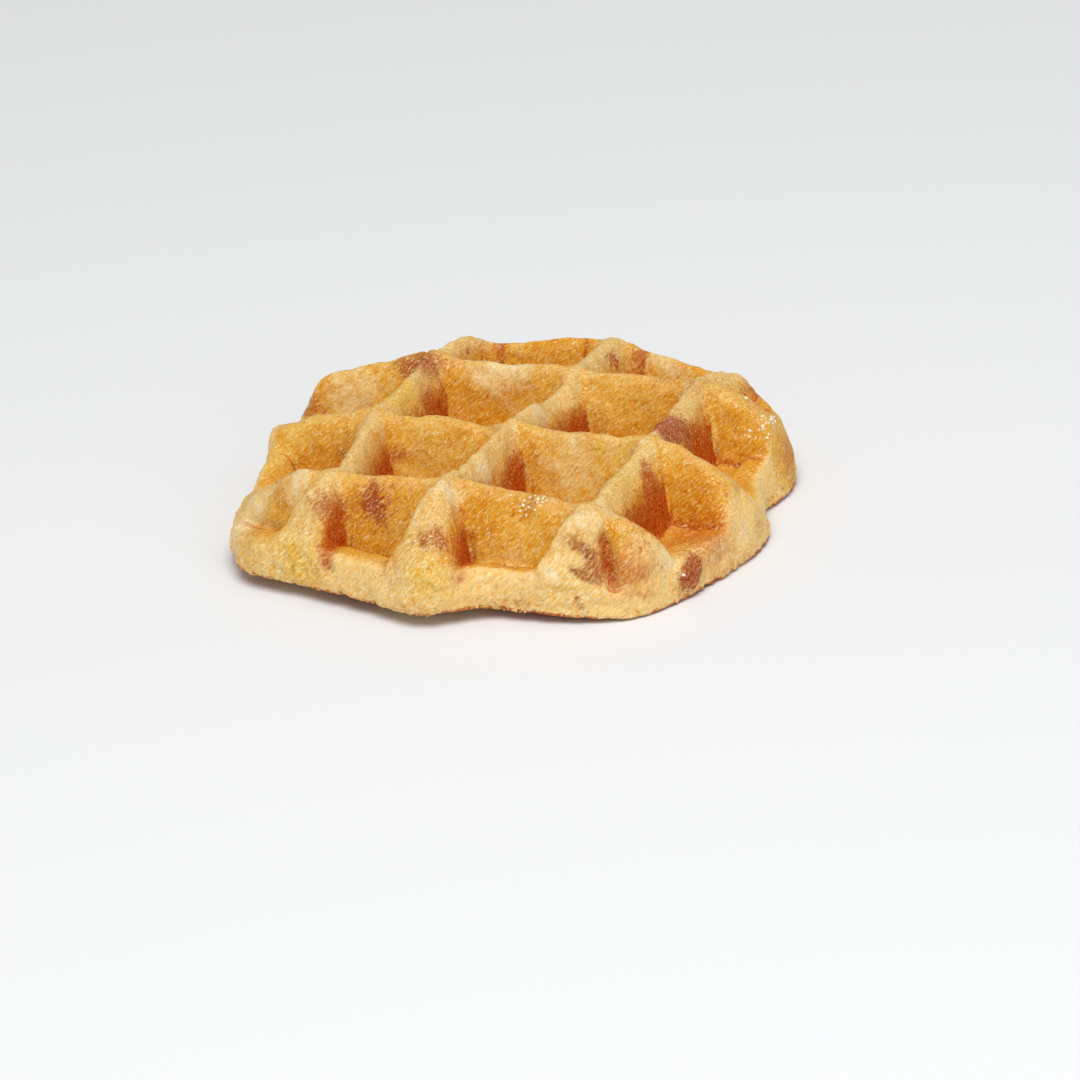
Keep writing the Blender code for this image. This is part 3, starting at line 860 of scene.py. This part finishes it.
def skin_relief(node, source, carried):
    """How far the skin stands out, from lumps, streaks down the walls, wrinkles, tears and pores."""
    place = node("GeometryNodeInputPosition")
    normal = node("ShaderNodeSeparateXYZ", node("GeometryNodeInputNormal"), out=None).outputs
    steep = node("ShaderNodeMath", 1.0, node("ShaderNodeMath", normal["Z"], operation="ABSOLUTE"),
                 operation="SUBTRACT")
    masks = {"Lump": 1.0, "Streak": steep, "Wrinkle": carried["ridge"], "Tear": carried["rim"]}
    total = 0.0
    for name, lengths in RELIEF_WAVELENGTHS.items():
        scaled = node("ShaderNodeVectorMath", place, tuple(1 / length / MM for length in lengths),
                      operation="MULTIPLY")
        noise = node("ShaderNodeTexNoise", {"Vector": scaled, "Scale": 1.0, "Detail": RELIEF_DETAIL,
                                            "Roughness": RELIEF_ROUGHNESS}, out="Fac")
        noise = node("ShaderNodeMath", noise, RELIEF_MIDDLE, operation="SUBTRACT")
        amount = node("ShaderNodeMath", source[name], masks[name], operation="MULTIPLY")
        total = node("ShaderNodeMath", noise, amount, total, operation="MULTIPLY_ADD")
    cells = node("ShaderNodeTexVoronoi", {"Vector": place, "Scale": 1 / PORE_SPACING}, out="Distance")
    hole = node("ShaderNodeMapRange", {"Value": cells, "From Min": PORE_EDGE, "From Max": PORE_BOTTOM},
                interpolation_type="SMOOTHSTEP")
    open_skin = node("ShaderNodeMath", 1.0, carried["pressed"], operation="SUBTRACT")
    torn = node("ShaderNodeMath", carried["rim"], RIM_PORES, operation="MULTIPLY")
    open_skin = node("ShaderNodeMath", open_skin, torn, operation="MAXIMUM")
    hole = node("ShaderNodeMath", hole, open_skin, operation="MULTIPLY")
    hole = node("ShaderNodeMath", hole, source["Pore"], operation="MULTIPLY")
    total = node("ShaderNodeMath", total, hole, operation="SUBTRACT")
    for name, (_, stands_out, _) in RELIEF_SPOTS.items():
        total = node("ShaderNodeMath", carried[name], stands_out, total, operation="MULTIPLY_ADD")
    # The underside stays on the table, so its relief only goes inward
    outward = node("ShaderNodeMath", carried["pressed"], OUTWARD_LIMIT, operation="MULTIPLY")
    return node("ShaderNodeMath", total, outward, operation="MINIMUM")


def scatter_tree(mask, grains, material):
    """The tree that strews small grains over the crust, thickest where the mask is strongest."""
    inputs = {"Crust": ("NodeSocketObject", None), "Density": (FLOAT, grains["Density"]),
              "Size": (FLOAT, grains["Size"]), "Seed": ("NodeSocketInt", grains["Seed"])}
    tree = new_tree(f"strew_{mask}", inputs, {"Grains": "NodeSocketGeometry"})
    node = partial(add, tree)
    source = node("NodeGroupInput", out=None).outputs
    crust = node("GeometryNodeObjectInfo", source["Crust"], out="Geometry")
    area = node("GeometryNodeInputNamedAttribute", {"Name": mask}, data_type="FLOAT")
    density = node("ShaderNodeMath", area, source["Density"], operation="MULTIPLY")
    points = node("GeometryNodeDistributePointsOnFaces",
                  {"Mesh": crust, "Density": density, "Seed": source["Seed"]})
    turn = node("FunctionNodeRandomValue", {"Max": (math.tau, math.tau, math.tau), "Seed": source["Seed"]},
                data_type="FLOAT_VECTOR")
    uneven = node("FunctionNodeRandomValue", {"Min": (GRAIN_LEAST,) * 3, "Max": (GRAIN_MOST,) * 3,
                                              "Seed": source["Seed"]}, data_type="FLOAT_VECTOR")
    uneven = node("ShaderNodeVectorMath", {"Vector": uneven, "Scale": source["Size"]}, operation="SCALE")
    grain = node(*grains["Shape"], out="Mesh")
    strewn = node("GeometryNodeInstanceOnPoints", {"Points": points, "Instance": grain, "Rotation": turn,
                                                   "Scale": uneven})
    strewn = node("GeometryNodeRealizeInstances", {"Geometry": strewn})
    strewn = node("GeometryNodeSetMaterial", {"Geometry": strewn, "Material": material})
    node("NodeGroupOutput", {"Grains": strewn}, out=None)
    return tree


def strew(name, mask, grains, material):
    """A piece of its own that holds the grains which lie where the mask is."""
    tree = scatter_tree(mask, grains, material)
    piece = bpy.data.objects.new(name, bpy.data.meshes.new(name))
    bpy.context.scene.collection.objects.link(piece)
    scatter = piece.modifiers.new("scatter", "NODES")
    scatter.node_group = tree
    set_inputs(scatter, tree, {**grains, "Crust": bpy.data.objects["waffle_crust"]})
    make_plain(piece)
    if not piece.data.polygons:
        raise RuntimeError(f"{name} has no grains")
    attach(piece, "root")


def crust_patterns(node, place):
    """The noises on the crust by their names, some of them turned to lie as the fibres do."""
    turned = node("ShaderNodeVectorRotate", {"Vector": place, "Rotation": FIBRE_TURN},
                  rotation_type="EULER_XYZ")
    noises = {}
    for name, (lengths, detail, twist) in PATTERNS.items():
        source = turned if name in TURNED_PATTERNS else place
        scaled = node("ShaderNodeVectorMath", source, tuple(1 / (length * MM) for length in lengths),
                      operation="MULTIPLY")
        noises[name] = node("ShaderNodeTexNoise", {"Vector": scaled, "Scale": 1.0, "Detail": detail,
                                                   "Roughness": PATTERN_ROUGHNESS, "Distortion": twist},
                            out="Fac")
    return noises


def new_material(name):
    """A new material, and the function that adds nodes to it."""
    material = bpy.data.materials.new(name)
    material.use_nodes = True
    return material, partial(add, material.node_tree)


def shade(material, values):
    """Fills the inputs of a material's shader."""
    tree = material.node_tree
    fill(tree, tree.nodes["Principled BSDF"], values)
    return material


def crust_material(look):
    """Baked yeast dough, pressed in an iron: golden where the iron browned it, cream where it rose
    free of it, with toasted patches and a satin gloss of butter. Painted shade darkens its creases,
    fold and flanks, and painted highlights whiten its glints and some cream places. It looks soft,
    as light passes a little way into it."""
    material, node = new_material("baked_dough_crust")
    place = node("ShaderNodeTexCoord", out="Object")
    noise = crust_patterns(node, place)
    pressed = node("ShaderNodeAttribute", out="Fac", attribute_name="pressed")
    spread = node("ShaderNodeTexVoronoi", {"Vector": place, "Scale": 1 / FRECKLE_SPACING}, out="Distance")
    mask = {
        "all": 0.5,
        "under": node("ShaderNodeMath", 1.0, pressed, operation="SUBTRACT"),
        "freckle": node("ShaderNodeMath", 1.0, spread, operation="SUBTRACT"),
    }
    tone = tuple(look.wall_colour)
    for paint, area, texture, amount, start, full, strength in LAYERS:
        if area not in mask:
            mask[area] = node("ShaderNodeAttribute", out="Fac", attribute_name=area)
        broken = node("ShaderNodeMath", noise[texture], 0.5, operation="SUBTRACT")
        broken = node("ShaderNodeMath", broken, amount, mask[area], operation="MULTIPLY_ADD")
        cover = node("ShaderNodeMapRange", {"Value": broken, "From Min": start, "From Max": full,
                                            "To Max": strength}, interpolation_type="SMOOTHSTEP")
        paint = tuple(getattr(look, f"{paint}_colour"))
        tone = node("ShaderNodeMix", {"Factor": cover, MIX_FROM: tone, MIX_TO: paint}, out=MIXED,
                    data_type="RGBA")
    # Light sinks deeper between the fibres, which makes the dough there darker and more orange
    contrast = CONTRAST
    for area, amount in CONTRAST_BY.items():
        contrast = node("ShaderNodeMath", mask[area], amount, contrast, operation="MULTIPLY_ADD")
    sink = 1.0
    for texture, amount in (("fibre", look.fibre), ("fleck", look.fleck)):
        gap = node("ShaderNodeMath", 0.5, noise[texture], operation="SUBTRACT")
        gap = node("ShaderNodeMath", gap, amount, operation="MULTIPLY")
        sink = node("ShaderNodeMath", gap, contrast, sink, operation="MULTIPLY_ADD")
    tone = node("ShaderNodeGamma", tone, sink)
    lit = 1.0
    for area, amount in DULL_BY.items():
        lit = node("ShaderNodeMath", mask[area], amount, lit, operation="MULTIPLY_ADD")
    # The white glints are painted highlights mixed into the colour, dulled on the flanks and the rim. The
    # wet glints weight the coat, a real gloss
    glints = {}
    kinds = {"white": (*WHITE_BEGINS, look.glint), "wet": (*WET_BEGINS, look.butter)}
    for name, (start, full, strength) in kinds.items():
        glint = node("ShaderNodeMapRange", {"Value": noise["glint"], "From Min": start, "From Max": full,
                                            "To Max": strength}, interpolation_type="SMOOTHSTEP")
        glints[name] = node("ShaderNodeMath", glint, lit, operation="MULTIPLY")
    white = {"Factor": glints["white"], MIX_FROM: tone, MIX_TO: tuple(look.glint_highlight_colour)}
    tone = node("ShaderNodeMix", white, out=MIXED, data_type="RGBA")
    rough = node("ShaderNodeMapRange", {
        "Value": noise["mottle"], "From Min": NOISE_MIDDLE[0], "From Max": NOISE_MIDDLE[1],
        "To Min": look.roughness + ROUGHNESS_SPREAD[0], "To Max": look.roughness + ROUGHNESS_SPREAD[1]})
    rough = node("ShaderNodeMath", mask["flank"], FLANK_ROUGHNESS, rough, operation="MULTIPLY_ADD")
    height = noise["fleck"]
    for texture in ("streak", "fibre"):
        height = node("ShaderNodeMath", noise[texture], FIBRE_HEIGHT, height, operation="MULTIPLY_ADD")
    bump = node("ShaderNodeBump", {"Height": height, "Strength": 1.0, "Distance": look.fibre_depth})
    return shade(material, {
        "Base Color": tone, "Roughness": rough, "Normal": bump, "IOR": DOUGH_IOR,
        "Specular IOR Level": look.gloss, "Coat Weight": glints["wet"], "Coat Roughness": WET_ROUGHNESS,
        "Subsurface Weight": look.softness, "Subsurface Radius": LIGHT_REACH,
        "Subsurface Scale": look.light_depth,
    })


def sugar_material(look):
    """Coarse white sugar: hard grains with smooth faces that catch the light."""
    material, _ = new_material("sugar_grain")
    return shade(material, {"Base Color": look.sugar_colour, "Roughness": SUGAR_ROUGHNESS})


def crumb_material(look):
    """Loose crumbs of the same dough: dry, matt and a little browner on some sides."""
    material, node = new_material("loose_crumb")
    place = node("ShaderNodeTexCoord", out="Object")
    noise = node("ShaderNodeTexNoise", {"Vector": place, "Scale": 1 / CRUMB_PATCH, "Detail": 1.0},
                 out="Fac")
    cover = node("ShaderNodeMapRange", {"Value": noise, "From Min": CRUMB_BROWNS[0],
                                        "From Max": CRUMB_BROWNS[1]})
    browned = {"Factor": cover, MIX_FROM: tuple(look.crumb_colour), MIX_TO: tuple(look.wall_colour)}
    tone = node("ShaderNodeMix", browned, out=MIXED, data_type="RGBA")
    return shade(material, {"Base Color": tone, "Roughness": CRUMB_ROUGHNESS})


def set_inputs(modifier, tree, values):
    """Sets a Geometry Nodes modifier's inputs, each by its socket's identifier."""
    for item in tree.interface.items_tree:
        if item.item_type == "SOCKET" and item.in_out == "INPUT" and item.name in values:
            modifier[item.identifier] = values[item.name]


def make_plain(piece):
    """Turns what a piece's modifiers make into its plain mesh, and removes them."""
    depsgraph = bpy.context.evaluated_depsgraph_get()
    made = bpy.data.meshes.new_from_object(
        piece.evaluated_get(depsgraph), preserve_all_data_layers=True, depsgraph=depsgraph)
    blank = piece.data
    piece.modifiers.clear()
    made.name = piece.name
    piece.data = made
    bpy.data.meshes.remove(blank)


def measure(name, description, size):
    """A length that the user may change."""
    return bpy.props.FloatProperty(name=name, description=description, default=size, unit="LENGTH")


def dial(name, description, value, **limits):
    """A plain number that the user may change."""
    return bpy.props.FloatProperty(name=name, description=description, default=value, **limits)


def swatch(name, description, code):
    """A colour that the user may change."""
    return bpy.props.FloatVectorProperty(
        name=name, description=description, subtype="COLOR", size=4, min=0, max=1, default=colour(code))


class IronSettings(bpy.types.PropertyGroup):
    """The iron that presses the waffle."""

    pitch: measure("Pitch", "From one ridge to the next", 26 * MM)
    thickness: measure("Thickness", "From the underside to the ridges", 20.5 * MM)
    pit_floor: measure("Pit floor", "Height of the pits' floor", 6.8 * MM)
    down_half_width: measure("Half width of ridges along Y", "At the floor of the pits", 5.4 * MM)
    down_slope: dial("Slope of ridges along Y", "Rise over run of their walls", 4.0)
    cross_half_width: measure("Half width of ridges along X", "At the floor of the pits", 6.0 * MM)
    cross_slope: dial("Slope of ridges along X", "Rise over run of their walls", 3.4)
    crest_round: measure("Crest rounding", "How far the crests are rounded", 7.0 * MM)
    rounding: bpy.props.IntProperty(
        name="Softening", description="How often the crests are drawn round", default=14, min=0)
    corner_round: measure("Corner rounding", "How far inner corners are filled", 1.2 * MM)


class SkinSettings(bpy.types.PropertyGroup):
    """How rough the skin of the dough is."""

    lump: measure("Lumps", "Size of its broad lumps", 2.0 * MM)
    streak: measure("Streaks", "Size of the streaks down its walls", 0.45 * MM)
    wrinkle: measure("Wrinkles", "Size of the wrinkles on its crests", 0.8 * MM)
    tear: measure("Tears", "How ragged its rim is", 1.3 * MM)
    pore: measure("Pores", "How deep the pores of its crumb are", 0.45 * MM)


class LookSettings(bpy.types.PropertyGroup):
    """Colours and gloss of the crust."""

    wall_colour: swatch("Walls", "Golden crust under all else", "#dd9b28")
    pale_colour: swatch("Pale patches", "Where it browned least", "#e9bb54")
    orange_colour: swatch("Orange", "Mottling where it browned most", "#cb6c00")
    # Also the painted shade in the creases, the fold and the flanks of the pits
    dark_colour: swatch("Dark", "Flanks of the ridges", "#b44c00")
    crest_colour: swatch("Crests", "Tops of the ridges", "#eac57c")
    rim_colour: swatch("Rim", "Torn edge", "#f9d58c")
    gold_colour: swatch("Gold", "Buttery places", "#e5b648")
    # Partly painted highlights on the buttresses and crests
    cream_colour: swatch("Cream", "Where the dough rose free of the iron", "#f4dfab")
    brown_colour: swatch("Brown", "Toasted patches on the ridges", "#b06224")
    red_colour: swatch("Red", "Reddish patches and freckles", "#a84c1e")
    # Painted highlights: the colour of the white glints mixed into the crust's colour
    glint_highlight_colour: swatch("Flour", "Pale grains all over", "#fbe8bd")
    crumb_colour: swatch("Crumb", "Underside between its toasted patches", "#eec682")
    toast_colour: swatch("Toast", "Toasted patches of the underside", "#c86a22")
    caramel_colour: swatch("Caramel", "Burst sugar on the underside", "#86301a")
    sugar_colour: swatch("Sugar", "Grains of sugar", "#fff4e2")
    roughness: dial("Roughness", "Of the crust", 0.42, min=0, max=1)
    gloss: dial("Gloss", "Of the dry crust", 0.12, min=0, max=1)
    butter: dial("Butter", "Gloss of the wet glints", 0.6, min=0, max=1)
    fibre: dial("Fibres", "How much darker it is between its fibres", 5.0, min=0)
    fleck: dial("Flecks", "How much darker its flecks are", 2.0, min=0)
    glint: dial("Glints", "How white its glints are", 0.6, min=0, max=1)
    fibre_depth: measure("Fibre depth", "How deep the fibres and grains are", 0.3 * MM)
    softness: dial("Softness", "Share of the light that passes into the crumb", 0.3, min=0, max=1)
    light_depth: measure("Light depth", "How far light passes into it", 1.6 * MM)


class StageSettings(bpy.types.PropertyGroup):
    """Floor and lights."""

    floor_colour: swatch("Floor", "Plain floor", "#e9eaeb")
    key_power: dial("Key light", "Soft light from high above the front", 11.6, unit="POWER")
    sky: dial("Sky", "Even light from all round", 0.4)


class WAFFLE_OT_body(bpy.types.Operator):
    """Presses and bakes the waffle"""

    bl_idname = "waffle.body"
    bl_label = "Waffle"

    def execute(self, context):
        scene = context.scene
        iron = scene.waffle_iron
        mesh, underside = blank_mesh(iron)
        piece = bpy.data.objects.new("waffle_crust", mesh)
        scene.collection.objects.link(piece)
        sizes = press_sizes(iron, scene.waffle_skin)
        tree = press_tree(sizes, crust_material(scene.waffle_look))
        press = piece.modifiers.new("press", "NODES")
        press.node_group = tree
        set_inputs(press, tree, sizes)
        group = piece.vertex_groups.new(name="underside")
        group.add(list(underside), 1.0, "REPLACE")
        thin = piece.modifiers.new("thin_out", "DECIMATE")
        thin.vertex_group = group.name
        thin.ratio = KEPT_SHARE
        make_plain(piece)
        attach(piece, "root")
        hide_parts("waffle")
        return {"FINISHED"}


class WAFFLE_OT_sugar(bpy.types.Operator):
    """Strews grains of sugar on the crust"""

    bl_idname = "waffle.sugar"
    bl_label = "Sugar"

    def execute(self, context):
        strew("sugar_grains", "sugar", SUGAR, sugar_material(context.scene.waffle_look))
        return {"FINISHED"}


class WAFFLE_OT_crumbs(bpy.types.Operator):
    """Leaves loose crumbs along the torn rim"""

    bl_idname = "waffle.crumbs"
    bl_label = "Crumbs"

    def execute(self, context):
        strew("rim_crumbs", "crumbs", CRUMBS, crumb_material(context.scene.waffle_look))
        return {"FINISHED"}


class WAFFLE_OT_stage(bpy.types.Operator):
    """Sets the floor, the lights and the camera"""

    bl_idname = "waffle.stage"
    bl_label = "Stage"

    def execute(self, context):
        scene = context.scene
        stage = scene.waffle_stage
        mesh = bpy.data.meshes.new("floor")
        corners = [(x * FLOOR_REACH, y * FLOOR_REACH, 0) for x, y in ((-1, -1), (1, -1), (1, 1), (-1, 1))]
        mesh.from_pydata(corners, [], [(0, 1, 2, 3)])
        floor = bpy.data.objects.new("floor", mesh)
        scene.collection.objects.link(floor)
        mesh.materials.append(floor_material(stage))
        set_camera(scene)
        set_lights(scene, stage)
        return {"FINISHED"}


def floor_material(stage):
    """Matt white board: plain and even, with no gloss to catch the lights."""
    material, _ = new_material("matt_white_board")
    return shade(material, {"Base Color": stage.floor_colour, "Roughness": FLOOR_ROUGHNESS,
                            "Specular IOR Level": FLOOR_GLOSS})


def camera_axes():
    """The camera's right, up and back directions."""
    azimuth, elevation = math.radians(CAMERA_AZIMUTH), math.radians(CAMERA_ELEVATION)
    back = Vector((math.sin(azimuth) * math.cos(elevation), -math.cos(azimuth) * math.cos(elevation),
                   math.sin(elevation)))
    level = Vector((math.cos(azimuth), math.sin(azimuth), 0))
    upright = back.cross(level)
    lean = math.radians(CAMERA_LEAN)
    right = level * math.cos(lean) + upright * math.sin(lean)
    up = upright * math.cos(lean) - level * math.sin(lean)
    return right, up, back


def set_camera(scene):
    """Puts the camera where the middle crossing shows at its pixel, at the photograph's scale."""
    right, up, back = camera_axes()
    middle_x, middle_y = box_middle()
    crossing = Vector((CROSSING_FROM_CENTRE[0] - middle_x, CROSSING_FROM_CENTRE[1] - middle_y,
                       scene.waffle_iron.thickness))
    half = IMAGE_PIXELS / 2
    aim = crossing + right * (half - CROSSING_PIXEL[0]) / PIXELS_PER_METRE
    aim = aim - up * (half - CROSSING_PIXEL[1]) / PIXELS_PER_METRE
    data = bpy.data.cameras.new("camera")
    data.sensor_width = CAMERA_SENSOR
    data.lens = CAMERA_SENSOR * CAMERA_DISTANCE * PIXELS_PER_METRE / IMAGE_PIXELS
    data.clip_end = CAMERA_FAR
    camera = bpy.data.objects.new("camera", data)
    turn = Matrix((right, up, back)).transposed().to_4x4()
    turn.translation = aim + back * CAMERA_DISTANCE
    camera.matrix_world = turn
    scene.collection.objects.link(camera)
    scene.camera = camera


def set_lights(scene, stage):
    """A broad soft light high above the front, a weak one at the right, and an even sky."""
    for name, (place, size, share) in LIGHTS.items():
        data = bpy.data.lights.new(name, "AREA")
        data.shape = "DISK"
        data.size = size
        data.energy = stage.key_power * share
        lamp = bpy.data.objects.new(name, data)
        place = Vector(place)
        lamp.matrix_world = place.to_track_quat("Z", "Y").to_matrix().to_4x4()
        lamp.location = place
        scene.collection.objects.link(lamp)
    world = bpy.data.worlds.new("sky")
    world.use_nodes = True
    background = world.node_tree.nodes["Background"]
    background.inputs["Color"].default_value = (1, 1, 1, 1)
    background.inputs["Strength"].default_value = stage.sky
    scene.world = world
    scene.view_settings.view_transform = "Standard"


class WAFFLE_PT_panel(bpy.types.Panel):
    """Lists the pieces of the waffle and their settings"""

    bl_idname = "WAFFLE_PT_panel"
    bl_label = "Waffle"
    bl_space_type = "VIEW_3D"
    bl_region_type = "UI"
    bl_category = "Waffle"

    def draw(self, context):
        for group in GROUPS:
            settings = getattr(context.scene, group)
            for name in type(settings).__annotations__:
                self.layout.prop(settings, name)
        for operator in OPERATORS:
            self.layout.operator(operator.bl_idname)


GROUPS = {
    "waffle_iron": IronSettings,
    "waffle_skin": SkinSettings,
    "waffle_look": LookSettings,
    "waffle_stage": StageSettings,
}
OPERATORS = (WAFFLE_OT_body, WAFFLE_OT_sugar, WAFFLE_OT_crumbs, WAFFLE_OT_stage)
CLASSES = (*GROUPS.values(), *OPERATORS, WAFFLE_PT_panel)


def register():
    for one in CLASSES:
        bpy.utils.register_class(one)
    for name, group in GROUPS.items():
        setattr(bpy.types.Scene, name, bpy.props.PointerProperty(type=group))


def unregister():
    for name in GROUPS:
        delattr(bpy.types.Scene, name)
    for one in reversed(CLASSES):
        bpy.utils.unregister_class(one)


def main():
    register()
    bpy.ops.waffle.body()
    bpy.ops.waffle.sugar()
    bpy.ops.waffle.crumbs()
    bpy.ops.waffle.stage()


if __name__ == "__main__":
    main()
